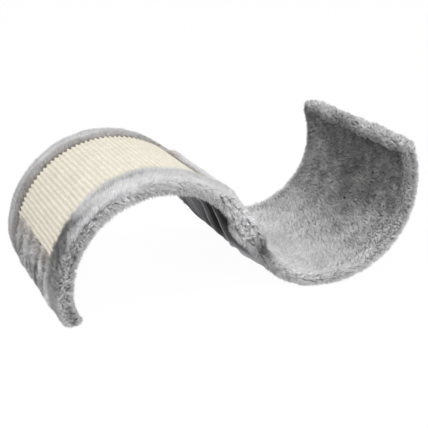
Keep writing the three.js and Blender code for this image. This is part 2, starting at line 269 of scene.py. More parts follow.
class Look:
    """A material that is put together from nodes."""

    def __init__(self, name, roughness, sheen=0.0, specular=0.2):
        self.material = bpy.data.materials.new(name)
        self.material.use_nodes = True
        self.tree = self.material.node_tree
        self.shader = self.tree.nodes["Principled BSDF"]
        self.shade({"Roughness": roughness, "Specular IOR Level": specular, "Sheen Weight": sheen})

    def shade(self, inputs):
        fill(self.tree, self.shader, inputs)
        return self.material

    def value(self, name):
        node = add_node(self.tree, "ShaderNodeAttribute")
        node.attribute_name = name
        return node.outputs["Fac"]

    def ramp(self, factor, stops):
        node = add_node(self.tree, "ShaderNodeValToRGB", {"Fac": factor})
        elements = node.color_ramp.elements
        while len(elements) < len(stops):
            elements.new(0.5)
        for element, (place, colour) in zip(elements, stops):
            element.position = place
            element.color = (*colour, 1)
        return node.outputs["Color"]

    def mix(self, kind, factor, a, b):
        node = add_node(self.tree, "ShaderNodeMix")
        node.data_type, node.blend_type = "RGBA", kind
        fill(self.tree, node, dict(zip(MIX_INPUTS, (factor, a, b))))
        return node.outputs[MIX_RESULT]

    def toned(self, colour):
        return self.mix("MULTIPLY", 1.0, colour, self.value("tone"))

    def noise(self, scale, detail, stretch=(1, 1, 1)):
        place = add_node(self.tree, "ShaderNodeTexCoord").outputs["Object"]
        mapping = add_node(self.tree, "ShaderNodeMapping", {"Vector": place, "Scale": stretch})
        inputs = {"Vector": mapping.outputs["Vector"], "Scale": scale, "Detail": detail}
        return add_node(self.tree, "ShaderNodeTexNoise", inputs).outputs["Fac"]

    def bump(self, height, strength, distance):
        inputs = {"Height": height, "Strength": strength, "Distance": distance}
        return add_node(self.tree, "ShaderNodeBump", inputs).outputs["Normal"]


def plush_material():
    """Pile, with painted shade at its roots: darker between the hairs and lighter at their tips."""
    look = Look("plush_pile", roughness=0.85, sheen=0.2)
    # painted shade deep in the pile: the hairs darken towards their roots
    hair = look.ramp(look.value("rise"), PLUSH_GREYS)
    warm = look.mix("MIX", look.value("warm"), hair, PLUSH_WARM)
    return look.shade({"Base Color": look.toned(warm)})


def backing_material():
    """The knitted backing under the pile."""
    look = Look("plush_backing", roughness=0.95)
    knit = look.noise(scale=900, detail=3)
    bump = look.bump(knit, strength=0.5, distance=0.0004)
    return look.shade({"Base Color": look.ramp(knit, BACKING_GREYS), "Normal": bump})


def sisal_material():
    """Cream sisal yarn, with fibres along the ribs and painted shade in the valleys between them."""
    look = Look("sisal_yarn", roughness=0.8, sheen=0.1)
    # painted shade: the yarn darkens from the crests down into the valleys
    yarn = look.ramp(look.value("rise"), SISAL_CREAMS)
    warm = look.mix("MIX", look.value("warm"), yarn, SISAL_WARM)
    fibre = look.noise(scale=1900, detail=3, stretch=(1, 0.12, 1))
    spun = look.mix("MULTIPLY", 1.0, warm, look.ramp(fibre, SISAL_FIBRES))
    bump = look.bump(fibre, strength=0.6, distance=0.0005)
    return look.shade({"Base Color": look.toned(spun), "Normal": bump})


def lining_material():
    """Thin brushed lining: dark grey with a fine nap, with painted highlights where it is creased."""
    look = Look("lining_cloth", roughness=0.9, sheen=0.05)
    nap = look.noise(scale=600, detail=4)
    bump = look.bump(nap, strength=0.5, distance=0.0004)
    return look.shade({"Base Color": look.toned(look.ramp(nap, LINING_GREYS)), "Normal": bump})


def plywood_material():
    look = Look("bent_plywood", roughness=0.65)
    grain = look.noise(scale=220, detail=5, stretch=(1, 0.04, 1))
    bump = look.bump(grain, strength=0.3, distance=0.0003)
    return look.shade({"Base Color": look.ramp(grain, PLYWOOD_BROWNS), "Normal": bump})


def steel_material():
    look = Look("plain_steel", roughness=0.35, specular=0.5)
    drawn = look.noise(scale=900, detail=2)
    return look.shade({"Base Color": look.ramp(drawn, STEEL_GREYS), "Metallic": 1})


pile_look = plush_material()
backing_look = backing_material()
sisal_look = sisal_material()
lining_look = lining_material()

# Meshes


def put(name, data):
    thing = bpy.data.objects.new(name, data)
    scene.collection.objects.link(thing)
    return thing


def finish_piece(name, mesh, material):
    mesh.materials.append(material)
    piece = put(name, mesh)
    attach(piece, "root")
    return piece


def new_mesh(name, points, faces, values):
    """A smooth mesh with values at its points."""
    mesh = bpy.data.meshes.new(name)
    mesh.from_pydata(points.reshape(-1, 3).tolist(), [], faces)
    mesh.polygons.foreach_set("use_smooth", np.ones(len(faces), dtype=bool))
    for key, value in values.items():
        layer = mesh.attributes.new(key, "FLOAT", "POINT")
        layer.data.foreach_set("value", np.asarray(value, dtype=np.float32).reshape(-1))
    return mesh


def face_out(mesh):
    """Turns the faces of a closed mesh outwards."""
    body = bmesh.new()
    body.from_mesh(mesh)
    if body.calc_volume(signed=True) < 0:
        mesh.flip_normals()
    body.free()


def loft(name, loops, material, values=None):
    """A closed body through loops of (count, 3) points, with a cap at both ends."""
    loops = np.array(loops)
    loops[..., 2] = np.maximum(loops[..., 2], FLOOR_GAP)
    rings, count = loops.shape[:2]
    index = np.arange(rings * count).reshape(rings, count)
    near, far = index[:-1], index[1:]
    quads = np.stack([near, far, np.roll(far, -1, axis=1), np.roll(near, -1, axis=1)], axis=-1)
    caps = [index[0].tolist(), index[-1][::-1].tolist()]
    mesh = new_mesh(name, loops, quads.reshape(-1, 4).tolist() + caps, values or {})
    face_out(mesh)
    return finish_piece(name, mesh, material)


def stations(low, high, step):
    """Places from low to high, about a step apart."""
    return np.linspace(low, high, round((high - low) / step) + 1)


def thin_loop(line, thickness):
    """A thin closed strip from an open line of points: out along it and back beside it."""
    line = np.asarray(line)
    along = np.gradient(line, axis=0)
    beside = unit(np.stack([along[:, 1], -along[:, 0]], axis=-1))
    return np.concatenate([line, (line + beside * thickness)[::-1]])


class Surface:
    """Where the tips of a pile lie, over a rectangle of two lengths a and b."""

    STEP = 2e-5  # between the points that tell how the surface slopes
    MOST = 1.35  # most area that a unit of the rectangle covers

    def __init__(self, place, a_range, b_range, outwards):
        self.place, self.a_range, self.b_range, self.outwards = place, a_range, b_range, outwards

    def frame(self, a, b):
        """Points of the surface, their normals, their directions along a and b, and the area there."""
        along = self.place(a + self.STEP, b) - self.place(a - self.STEP, b)
        across = self.place(a, b + self.STEP) - self.place(a, b - self.STEP)
        normal = np.cross(along, across)
        area = np.linalg.norm(normal, axis=-1) / (4 * self.STEP * self.STEP)
        return self.place(a, b), unit(normal) * self.outwards, unit(along), unit(across), area

    def sample(self, rng, density):
        """Even random places on the surface, about density of them for each square metre."""
        (a0, a1), (b0, b1) = self.a_range, self.b_range
        count = int((a1 - a0) * (b1 - b0) * density * self.MOST)
        a, b = rng.uniform(a0, a1, count), rng.uniform(b0, b1, count)
        keep = rng.uniform(0, self.MOST, count) < self.frame(a, b)[4]
        return a[keep], b[keep]


# Pile

# How a pile varies from place to place, with the size of the places, and from hair to hair
WANDER, WANDER_SIZE, STRAY = 0.3, 0.013, 0.15  # the way it leans
UNEVEN, UNEVEN_SIZE, STRAY_LENGTH = 0.1, 0.006, 0.07  # its length
PATCHY, PATCHY_SIZE, STRAY_TONE = 0.08, 0.02, 0.07  # its tone
LOCK_TONE, CURL_TONE = 0.07, 0.36  # its tone from lock to lock, and more where it curls
PARTING_SHADE, PARTING_SHADE_FROM = 0.3, 0.25  # how dark the painted shade in the partings between locks is, and where it starts in a lock
JITTER = 0.48  # how far the locks lie off an even grid
UNGATHERED = 0.3  # share of the hairs that belong to no lock
TINY = 1e-5  # finest difference between two locks
UPRIGHT = 0.9  # rise of a hair that counts as upright
# A hair's root and tip within its cell of the map
HAIR_MAP = np.array([[0.1, 0.1], [0.9, 0.1], [0.5, 0.1], [0.5, 0.9]])


def nearest_lock(a, b, size, seed):
    """The middle of the lock that each place belongs to, on a jittered grid, and how far it is."""
    ia, ib = np.floor(a / size).astype(np.int64), np.floor(b / size).astype(np.int64)
    best = np.full(a.shape, np.inf)
    best_a, best_b = a.copy(), b.copy()
    for da, db in np.ndindex(3, 3):
        cell = np.stack([ia + da - 1, ib + db - 1, np.full_like(ia, seed)], axis=-1)
        lock_a = (cell[:, 0] + 0.5 + JITTER * lattice(cell, 11)) * size
        lock_b = (cell[:, 1] + 0.5 + JITTER * lattice(cell, 12)) * size
        far = np.hypot(lock_a - a, lock_b - b)
        best_a, best_b = np.where(far < best, lock_a, best_a), np.where(far < best, lock_b, best_b)
        best = np.minimum(far, best)
    return best_a, best_b, best / size


def spikes(hairs):
    """One slim closed spike for each hair, cut off at the floor: three corners at its root and its tip."""
    root = hairs["root"]
    way = hairs["tip"] - root
    share = (root[:, 2] - FLOOR_GAP) / np.maximum(-way[:, 2], 1e-6)
    tip = root + way * np.where(way[:, 2] < 0, np.minimum(share, 1), 1)[:, None]
    axis = unit(tip - root)
    upright = np.abs(axis[:, 2:3]) > UPRIGHT
    side = unit(np.cross(axis, np.where(upright, [[1.0, 0, 0]], [[0, 0, 1.0]])))
    other = np.cross(axis, side)
    turns = 2 * math.pi * np.arange(3) / 3
    ring = [root + hairs["width"][:, None] * (math.cos(t) * side + math.sin(t) * other) for t in turns]
    verts = np.stack([*ring, tip], axis=1).reshape(-1, 3)
    verts[:, 2] = np.maximum(verts[:, 2], FLOOR_GAP)
    return verts


def hair_piece(name, hairs):
    """The mesh of a pile, where each hair has its own place in the map."""
    above = hairs["root"][:, 2] > 2 * FLOOR_GAP
    hairs = {key: value[above] for key, value in hairs.items()}
    count = int(above.sum())
    spike = np.array([[0, 1, 3], [1, 2, 3], [2, 0, 3], [2, 1, 0]])
    faces = (spike[None] + 4 * np.arange(count)[:, None, None]).reshape(-1, 3)
    values = {key: np.repeat(hairs[key], 4) for key in ("tone", "warm")}
    values["rise"] = np.tile([0.0, 0.0, 0.0, 1.0], count)
    mesh = new_mesh(name, spikes(hairs), faces.tolist(), values)
    cells = math.ceil(math.sqrt(count))
    cell = np.stack([np.arange(count) % cells, np.arange(count) // cells], axis=-1) / cells
    places = (cell[:, None, :] + HAIR_MAP[None] / cells).reshape(-1, 2)
    mesh.uv_layers.new(name="OFBake").data.foreach_set("uv", places[faces].reshape(-1))
    return finish_piece(name, mesh, pile_look)


def grow(name, surface, seed, coat, lock=LOCK, swell=SWELL):
    """A pile on a surface. coat(a, b) says how its hairs lie: how far they lean along a and b, their length
    over the depth of the pile, how far they gather into locks and curl about, their tone and warmth."""
    rng = np.random.default_rng(seed)
    a, b = surface.sample(rng, HAIRS)
    lock_a, lock_b, apart = nearest_lock(a, b, lock, seed)
    lock_cell = np.stack([lock_a / TINY, lock_b / TINY, np.zeros_like(a)], axis=-1).astype(np.int64)
    turn = math.pi * lattice(lock_cell, 34)

    def hair(a, b, loose):
        p, normal, along, across, _ = surface.frame(a, b)
        rise = swell[0] * (0.7 * noise(p, swell[1], 5) + 0.3 * noise(p, 0.4 * swell[1], 6))
        p = p + normal * rise[:, None]
        lie = coat(a, b)
        stray = loose * rng.normal(0, STRAY, (2, *a.shape))
        lean_a = lie["lean"][0] + WANDER * noise(p, WANDER_SIZE, 21) + lie["curl"] * np.cos(turn) + stray[0]
        lean_b = lie["lean"][1] + WANDER * noise(p, WANDER_SIZE, 22) + lie["curl"] * np.sin(turn) + stray[1]
        height = lie["length"] + UNEVEN * noise(p, UNEVEN_SIZE, 23)
        height = height + loose * rng.normal(0, STRAY_LENGTH, a.shape)
        root = p - normal * ROOTS
        way = normal + along * lean_a[:, None] + across * lean_b[:, None]
        return p, root, root + ROOTS * height[:, None] * way, lie

    p, root, tip, lie = hair(a, b, 1.0)
    lock_tip = hair(np.clip(lock_a, *surface.a_range), np.clip(lock_b, *surface.b_range), 0.0)[2]
    gather = lie["gather"] * rng.uniform(0.6, 1.0, a.shape) * (rng.uniform(0, 1, a.shape) > UNGATHERED)
    tip = tip + (lock_tip - tip) * gather[:, None]
    tone = lie["tone"] * (
        1.0
        + PATCHY * noise(p, PATCHY_SIZE, 31)
        + (LOCK_TONE + CURL_TONE * lie["curl"]) * lattice(lock_cell, 33)
        # painted shade in the partings between locks
        - PARTING_SHADE * lie["gather"] * np.maximum(apart - PARTING_SHADE_FROM, 0)
        + rng.normal(0, STRAY_TONE, a.shape)
    )
    width = HAIR * rng.uniform(0.75, 1.2, a.shape)
    warm = np.clip(lie["warm"] * rng.uniform(0.5, 1.2, a.shape), 0, 1)
    return hair_piece(name, {"root": root, "tip": tip, "width": width, "tone": tone, "warm": warm})


def cover(node, loops):
    """The backing of a piece of plush, which stands for the solid and carries its piles."""
    cloth = loft(f"{node}_cloth", loops, backing_look)
    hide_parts(node)


# Shapes of the plush round the rims

# Where along the wave a form starts, is full, fades and ends
SWOLLEN = (MAT_HIGH - 0.015, MAT_HIGH + 0.02, -0.055, -0.015)
FOLDED = (-0.048, 0.004, 0.014, 0.034)
BULGING = (-0.040, -0.018, -0.004, 0.018)
# Heights over the board's middle
UPPER_SIDE = (0.0, 0.006)
UNDERSIDE = (0.0, -0.008)


def rim_points(border, inset):
    """A band's section as (height, distance in from the rim), from its upper seam round to its roll."""
    radius, top = ROUND - inset, TOP - inset
    upper, lower = (TOP - ROUND, ROUND), (ROUND - TOP, ROUND)
    return [(top, border), *arc(upper, radius, 0, -90), *arc(lower, radius, -90, -180), (-top, ROLL)]


def under_rim(n, d):
    """One on the lower side of the rims, and nothing on their hems under the board."""
    return smooth(n, *UNDERSIDE) * (1 - smooth(d, ROLL - 0.001, ROLL + HEM_TURN))


def join_fold(s, d):
    """The plush of the front rims stands up in a soft fold where the arch meets the cradle."""
    return 0.0075 * span(s, *FOLDED) * (1 - smooth(d, 0.018, 0.036))


def waist_shape(s, n, d):
    """The rims hang lower at the end of the arch and are drawn in at the start of the cradle."""
    return (0.002 * hill(s, 0.042, 0.02) - 0.0085 * span(s, *BULGING)) * under_rim(n, d)


def foot_shape(s, n):
    """The foot is tucked in at its outer edge and spread at its inner one."""
    low = np.clip(1 - (s - FOOT_END) / 0.032, 0, 1)
    tuck = 0.009 * low**3 * smooth(n, -0.002, 0.008)
    spread = 0.007 * hill(s, FOOT_END + 0.004, 0.02) * smooth(n, *UNDERSIDE)
    return -tuck - spread


def arch_shape(s, n, d, side):
    """The arch's bands stand out most beside the saddle, and the front one a little over the mat."""
    swollen = span(s, *SWOLLEN)
    if side < 0:
        over_mat = smooth(d, ARCH_BORDER - 0.014, ARCH_BORDER) * (1 - swollen) * smooth(s, -0.26, -0.22)
        lift = swollen * (0.0012 + 0.0063 * smooth(d, 0.0, 0.03)) + 0.0022 * over_mat + join_fold(s, d)
    else:
        lift = 0.0015 * swollen + 0.0012
    return lift * smooth(n, *UPPER_SIDE) + foot_shape(s, n) + waist_shape(s, n, d)


def cradle_shape(s, n, d, side):
    """The cradle's rear rim is fuller than the seat, the front one at the join and below up the wall."""
    if side < 0:
        proud = 0.0028 * smooth(s, 0.18, 0.27) * under_rim(n - 0.003, d)
        lift = join_fold(s, d)
    else:
        proud = 0.0
        lift = 0.0052 * hill(s, 0.17, 0.10) * (1 - smooth(d, 0.006, CRADLE_BORDER))
    return waist_shape(s, n, d) - proud + lift * smooth(n, *UPPER_SIDE)


def saddle_swell(s, y):
    """The saddle swells up beside the mat, runs out towards the join and drops off at its rear end."""
    t = np.clip((s - MAT_HIGH) / SADDLE, 0, 1)
    height = SADDLE_PROUD + SADDLE_FLUFF + 0.001 * hill(y, 0.058, 0.008)
    sunk = 0.6 * smooth(s, -0.05, -0.02) * smooth(y, 0.02, -0.05)
    return height * np.sin(np.pi * np.sqrt(t)) ** 0.8 * (1 - 0.8 * smooth(y, 0.062, 0.071)) * (1 - sunk)


# Lie of the plush round the rims

# Where along the wave a look starts, is full, fades and ends
BRUSHED_OVER = (-0.30, -0.24, -0.02, 0.0)
# where painted shade lies low on the rims under the middle of the arch
SHADE_UNDER_ARCH = (-0.225, -0.19, -0.07, -0.04)
WEDGE = (-0.25, -0.268, -0.34, -0.36)
STROKE = (-0.205, -0.245, -0.255, -0.27)
# where a painted shadow runs along the mat's front edge
MAT_EDGE_SHADOW = (-0.12, -0.17, -0.22, -0.25)
# Where along the wave a look starts and is full
LEG = (-0.24, -0.30)
TOE = (-0.35, -0.375)
# Values along the wave, for the lie, the curls, the tone and the painted shade of the pile
fringe_edge = profile(0.008, steps=[(-0.011, -0.245, -0.115), (0.014, -0.100, -0.055)])
hang = profile(1.0, hills=[(-1.0, 0.08, 0.07), (-1.0, -0.075, 0.035)])
combed = profile(1.0, steps=[(-0.9, 0.15, 0.25)])
ruffled = profile(0.0, steps=[(0.3, -0.28, -0.31), (0.14, -0.19, -0.13)])
curliness = profile(
    0.5,
    hills=[(0.3, -0.05, 0.05), (0.2, -0.17, 0.07)],
    steps=[(-0.33, 0.04, 0.12), (-0.14, -0.24, -0.29)],
)
# painted shade, or painted light where negative, on the sides of the rims
side_painted_shade = profile(
    0.0,
    hills=[(-0.08, 0.10, 0.06), (-0.08, -0.03, 0.03), (0.12, 0.172, 0.03)],
    steps=[(0.23, -0.20, -0.27), (-0.13, -0.325, -0.35), (0.2, 0.20, 0.27), (0.12, 0.29, 0.34)],
)
mat_lean = profile(0.8, steps=[(-0.35, -0.12, -0.26), (-0.5, -0.17, -0.12)])
wedge_edge = profile(0.022, hills=[(0.005, -0.275, 0.012)], steps=[(-0.020, -0.278, -0.300)])
seat_pale = profile(1.25, hills=[(-0.08, 0.20, 0.03)], steps=[(-0.2, 0.05, 0.12)])
FRINGE_FADE = 0.003  # half the height over which the fringe sets in


def over_rim(n, d):
    """How far the pile beside a rim leans out over it, to meet the pile of its side."""
    return 0.6 * hill(d, 0.013, 0.009) * (n > 0) - 0.25 * (1 - smooth(d, 0.0, 0.004)) * (n > -0.004)


def rim_zones(s, n, d, brushed_over):
    """Where a band's pile belongs to the curly side of its rim, and where to its smooth top."""
    edge = fringe_edge(s)
    fringe = smooth(-n, -edge - FRINGE_FADE, FRINGE_FADE - edge)
    under = 1 - smooth(d, 0.010, ROLL)
    plain = np.where(n > 0, 1 - smooth(d, 0.002, 0.011), under)
    on_side = plain + brushed_over * (fringe * np.where(n > 0, 1, under) - plain)
    return on_side, (1 - on_side) * (n > 0)


def rim_painted_shade(s, n):
    """How much painted shade the sides of the rims carry, place by place along the wave, and on the leg by
    their height as well.
    """
    leg = 0.12 * smooth(n, 0.0, -0.006) - 0.15 * smooth(n, -0.006, 0.003)
    return side_painted_shade(s) + leg * smooth(s, *LEG)


def rim_coat(s, n, d):
    """How a band's pile lies: brushed smooth on top, in short curly locks on the rim's side."""
    brushed_over = span(s, *BRUSHED_OVER)
    on_side, on_top = rim_zones(s, n, d, brushed_over)
    lower = smooth(n, 0.001, -0.006)
    droop = 0.5 * (1 - smooth(d, 0.004, 0.032)) * (1 - lower) * brushed_over
    droop = droop + over_rim(n, d) * (1 - brushed_over)
    hanging = smooth(n, 0.002, -0.008) * hang(s) - 1.3 * smooth(s, *TOE)
    curly = curliness(s)
    # painted shade low on the rims under the arch
    shade_under_arch = span(s, *SHADE_UNDER_ARCH) * smooth(n, 0.006, -0.004)
    parting = hill(d, 0.006, 0.004) * (n > 0) * (1 - brushed_over)
    return {
        "lean": [(0.55 * on_top + 0.25 * on_side) * combed(s), droop],
        "length": 1.1 + 0.22 * hanging,
        "gather": 0.15 + (0.1 + 0.6 * curly) * on_side * (1 - 0.6 * parting),
        "curl": 0.09 + (curly + 0.2 * lower) * on_side + ruffled(s) * on_top,
        # painted light and shade on the rims' sides: lighter overall, darker low down and place by place
        "tone": 1.0 + on_side * (0.12 - rim_painted_shade(s, n) - 0.1 * lower) - 0.13 * shade_under_arch,
        "warm": 0.0,
    }


def join_crease_shade(s, n, d):
    """Painted shade in the fold of the rims where the arch's plush meets the cradle's."""
    above = 0.78 * hill(s, 0.027, 0.019) * smooth(n, -0.012, 0.0) * (1 - smooth(d, 0.017, 0.026))
    below = 0.3 * hill(s, 0.048, 0.022) * smooth(n, 0.004, -0.006)
    return 1 - np.maximum(above, below)


def front_by_mat(lie, s, n, d, by_mat, streak):
    """The front band lies over the mat's edge, with a painted shadow along it. Low down it has painted
    shade, and it is brushed up in a wedge with painted shade.
    """
    on_top = smooth(n, 0.0, 0.008)
    edge = wedge_edge(s)
    wedge = smooth(d, edge - 0.004, edge + 0.006) * span(s, *WEDGE)
    stroke = hill(d, 0.026, 0.008) * span(s, *STROKE)
    brushed = np.minimum(wedge + 0.5 * stroke, 1) * on_top
    low_and_edge_shade = 0.28 * smooth(s, -0.22, -0.28) * (0.5 + 0.5 * smooth(d, 0.006, 0.016))
    low_and_edge_shade = low_and_edge_shade - 0.07 * hill(s, -0.20, 0.03) * hill(d, 0.018, 0.010)
    low_and_edge_shade = low_and_edge_shade + 0.2 * smooth(d, 0.032, 0.044) * span(s, *MAT_EDGE_SHADOW)
    lie["lean"][1] -= mat_lean(s) * by_mat
    lie["curl"] += 0.35 * brushed
    # painted shade low down, along the mat's edge and in the brushed wedge
    lie["tone"] *= 1.05 - low_and_edge_shade * on_top - brushed * (0.22 + 0.4 * streak)


def rear_by_mat(lie, s, n, d, by_mat, streak):
    """The rear band keeps clear of the mat's frayed edge and is warm beside it, with painted shade there
    and on its outer edge on the leg.
    """
    on_top = n > 0
    ragged = 0.006 * flat_noise(s, d, (0.016, 0.05), 43)
    beside = smooth(d + ragged, 0.020, 0.032) * on_top * (s < MAT_HIGH)
    fringe = smooth(d, ARCH_BORDER - 0.008, ARCH_BORDER) * (s < MAT_HIGH)
    deep = (0.15 + 0.25 * streak) * (1 - 0.6 * smooth(s, -0.20, -0.13))
    outer = 0.2 * smooth(s, -0.20, -0.26) * (1 - smooth(d, 0.010, 0.022)) * on_top
    lie["lean"][1] += 0.4 * by_mat
    lie["length"] -= 0.25 * by_mat
    lie["curl"] += 0.4 * beside
    # painted shade beside the mat and along the outer edge on the leg
    lie["tone"] *= 1 - deep * beside - outer
    lie["warm"] = (0.25 * beside + 0.6 * fringe) * on_top


def arch_coat(s, n, d, side):
    """The arch's bands lie as the rims do, and each in its own way where it meets the mat."""
    lie = rim_coat(s, n, d)
    by_mat = smooth(d, ARCH_BORDER - 0.02, ARCH_BORDER) * (n > 0) * (s < MAT_HIGH)
    streak = 0.5 + 0.5 * flat_noise(s, d, (0.022, 0.009), 41) + 0.35 * flat_noise(s, d, (0.007, 0.005), 42)
    meet_mat = front_by_mat if side < 0 else rear_by_mat
    meet_mat(lie, s, n, d, by_mat, streak)
    lie["tone"] *= join_crease_shade(s, n, d)
    return lie


# Lighter patches of the seat: how much, middle and width along the wave, start and end in y
SEAT_PATCHES = [(0.14, (0.15, 0.035), (0.01, 0.06)), (0.07, (0.09, 0.03), (-0.03, -0.08))]
WALL = (0.17, 0.30)
# painted light on the wall: how much, middle and width along the wave, start and end in y
WALL_PAINTED_LIGHT = [(0.38, (0.255, 0.04), (-0.04, -0.10))]


def patches(s, y, rows):
    return sum(amount * hill(s, *along) * smooth(y, *across) for amount, along, across in rows)


def seat_coat(s, y):
    """Trodden smooth at the cradle's bottom, mottled up its wall, with painted shade up the wall and under
    the lip, and painted light on parts of the wall.
    """
    wall = smooth(s, *WALL)
    shade_under_lip = smooth(s, LIP_START - 0.04, LIP_START)
    mottle = flat_noise(s, y, (0.015, 0.015), 61) + 0.8 * flat_noise(s, y, (0.006, 0.006), 62)
    pale = seat_pale(s) + patches(s, y, SEAT_PATCHES)
    painted_light = 0.3 * smooth(y, -0.02, 0.12) + patches(s, y, WALL_PAINTED_LIGHT)
    # painted shade up the wall, lessened where painted light falls
    tone = pale + 0.16 * mottle * (0.35 + 0.65 * wall) - wall * (0.55 - painted_light)
    return {
        "lean": [0.3 - 0.6 * wall + 0.2 * mottle, 0.25 * mottle],
        "length": 1.05 + 0.05 * wall,
        "gather": 0.3 + 0.2 * wall,
        "curl": 0.45 + 0.15 * wall,
        # painted shade under the lip and in the join's crease
        "tone": tone * (1 - 0.28 * shade_under_lip) * join_crease_shade(s, TOP, RIM - np.abs(y)),
        "warm": 0.1 * wall,
    }


def cradle_coat(s, n, d, side):
    """The cradle's bands lie like the seat beside them, and lean over towards the lip at their ends, with
    painted shade along their inner edge.
    """
    lie = rim_coat(s, n, d)
    lie["tone"] *= join_crease_shade(s, n, d)
    seat = seat_coat(s, side * (RIM - d))
    share = smooth(d, 0.003, 0.017) * (n > 0)
    along, across = [mine + share * (other - mine) for mine, other in zip(lie["lean"], seat.pop("lean"))]
    to_lip = 0.9 * smooth(s, LIP_START - 0.010, LIP_START)
    lie["lean"] = [along + to_lip, across + share * over_rim(n, d)]
    for key, value in seat.items():
        lie[key] += share * (value - lie[key])
    # painted shade in a band along the inner edge of the rims, darkest towards the lip
    inner = 0.06 * hill(d, 0.012, 0.003) + 0.5 * smooth(s, 0.30, 0.34) * hill(d, 0.009, 0.006)
    lie["tone"] *= 1 - inner * (n > 0)
    return lie


# Plush bands round the rims


def rim_band(node, side, seed, shell, ends, border, coat, shape):
    """A band's pile and backing. ends has lengths along the wave, and how far its section is drawn in."""
    section = Outline(rim_points(border, 0), rim_points(border, ROUND))
    along = Path(ends)

    def place(a, c):
        s, inset = along(a)
        n, d = section(c, inset / ROUND)
        return wave(s, n + shape(s, n, d, side), side * (RIM - d))

    def coat_at(a, c):
        return coat(along(a)[0], *section(c), side)

    surface = Surface(place, (0.0, along.length), (0.0, section.length), side)
    pile = grow(f"{node}_pile", surface, seed, coat_at, lock=BAND_LOCK)
    line = Path([*rim_points(border, ROOTS), (-HEM_LOW, ROLL + HEM_TURN), (-HEM_LOW, HEM)])
    loop = thin_loop(np.stack(line(stations(0, line.length, SECTION_STEP)), axis=-1), CLOTH)
    first, last = along.points[0, 0], min(along.points[-1, 0], LIP_START - GAP)
    n, d = loop.T
    rows = stations(first, last, BAND_STEP)
    loops = [wave(s, n + shape(s, n, d, side), side * (RIM - d)) for s in rows]
    cover(node, loops)


toe_round = arc((FOOT_END + FOOT_ROUND, FOOT_ROUND), FOOT_ROUND, 180, 270)
arch_ends = [(FOOT_END, ROUND), *toe_round, (-TUCK_RUN, 0), (-GAP / 2, TUCK)]
cradle_ends = [(GAP / 2, TUCK), (TUCK_RUN, 0), (LIP_START, 0), (LIP_START + TUCK_RUN, 2 * TUCK)]
arch_band = ("arch_shell", arch_ends, ARCH_BORDER, arch_coat, arch_shape)
cradle_band = ("cradle_shell", cradle_ends, CRADLE_BORDER, cradle_coat, cradle_shape)
rim_band("arch_front_band", -1, 101, *arch_band)
rim_band("arch_rear_band", 1, 102, *arch_band)
rim_band("cradle_front_band", -1, 103, *cradle_band)
rim_band("cradle_rear_band", 1, 104, *cradle_band)

# Plush over the foot

FOOT_SLANT = 0.2  # sideways run of the creases and streaks


def foot_points(inset):
    """The foot's section as (length along the wave, height), from the mat down, round and up inside."""
    radius, middle = FOOT_ROUND - inset, FOOT_END + FOOT_ROUND
    return [
        (MAT_LOW - GAP, TOP - inset),
        *arc((middle, TOP - FOOT_ROUND), radius, 90, 180),
        *arc((middle, FOOT_ROUND - TOP), radius, 180, 270),
        (FOOT_ROLL, inset - TOP),
    ]


def foot_coat(s, n, y):
    """In streaks and tufts that lean down, but up over the mat's lower edge, and warm beside it."""
    by_mat = smooth(s, MAT_LOW - 0.022, MAT_LOW - 0.006) * (n > 0)
    over_mat = smooth(s, MAT_LOW - 0.008, MAT_LOW - 0.001)
    low = smooth(s, FOOT + 0.02, FOOT)
    slanted = y + FOOT_SLANT * s
    streak = flat_noise(s, slanted, (0.040, 0.012), 52) + 1.1 * flat_noise(s, slanted, (0.018, 0.006), 53)
    tuft = flat_noise(s, y, (0.0055, 0.0035), 54) * (1 - 0.6 * by_mat)
    return {
        "lean": [0.5 + 0.15 * streak - 0.4 * by_mat - 0.7 * over_mat, 0.35 * streak + 0.3 * tuft],
        "length": 1.05 + 0.1 * low - 0.2 * by_mat + 0.25 * over_mat,
        "gather": 0.5 + 0.1 * low,
        "curl": 0.75 + 0.1 * low,
        "tone": 1.19 + 0.55 * streak * (1 - 0.6 * by_mat) + 0.3 * tuft,
        "warm": 0.5 * by_mat,
    }


def foot_panel(seed):
    section = Path(foot_points(0))

    def place(c, y):
        s, n = section(c)
        creases = 0.0016 * flat_noise(s, y + FOOT_SLANT * s, (0.05, 0.015), 51) * (n > 0)
        return wave(s, n + creases + foot_shape(s, n), y)

    def coat(c, y):
        return foot_coat(*section(c), y)

    surface = Surface(place, (0.0, section.length), (-MAT_HALF, MAT_HALF), -1)
    pile = grow("foot_panel_pile", surface, seed, coat, lock=FOOT_LOCK)
    hem = [(FOOT_ROLL + HEM_TURN, -HEM_LOW), (FOOT + HEM - PILE, -HEM_LOW)]
    line = Path([*foot_points(ROOTS), *hem])
    loop = thin_loop(np.stack(line(stations(0, line.length, SECTION_STEP)), axis=-1), -CLOTH)
    s, n = loop.T
    loops = [wave(s, n + foot_shape(s, n), y) for y in stations(-MAT_HALF, MAT_HALF, WIDTH_STEP)]
    cover("foot_panel", loops)


foot_panel(105)

# Plush panels between the bands


def panel(node, s_range, half, coat, swell, seed, parts=1):
    """A panel on the upper side of a board, with its pile in one or more pieces along the wave."""

    def place(s, y):
        return wave(s, TOP + swell(s, y), y)

    edges = np.linspace(*s_range, parts + 1)
    for k in range(parts):
        surface = Surface(place, (edges[k], edges[k + 1]), (-half, half), 1)
        name = f"{node}_pile_{k + 1}" if parts > 1 else f"{node}_pile"
        grow(name, surface, seed + k, coat)
    n, y = thin_loop([(TOP - ROOTS, y) for y in stations(-half, half, WIDTH_STEP)], -CLOTH).T
    loops = [wave(s, n + swell(s, y), y) for s in stations(*s_range, PANEL_STEP)]
    cover(node, loops)


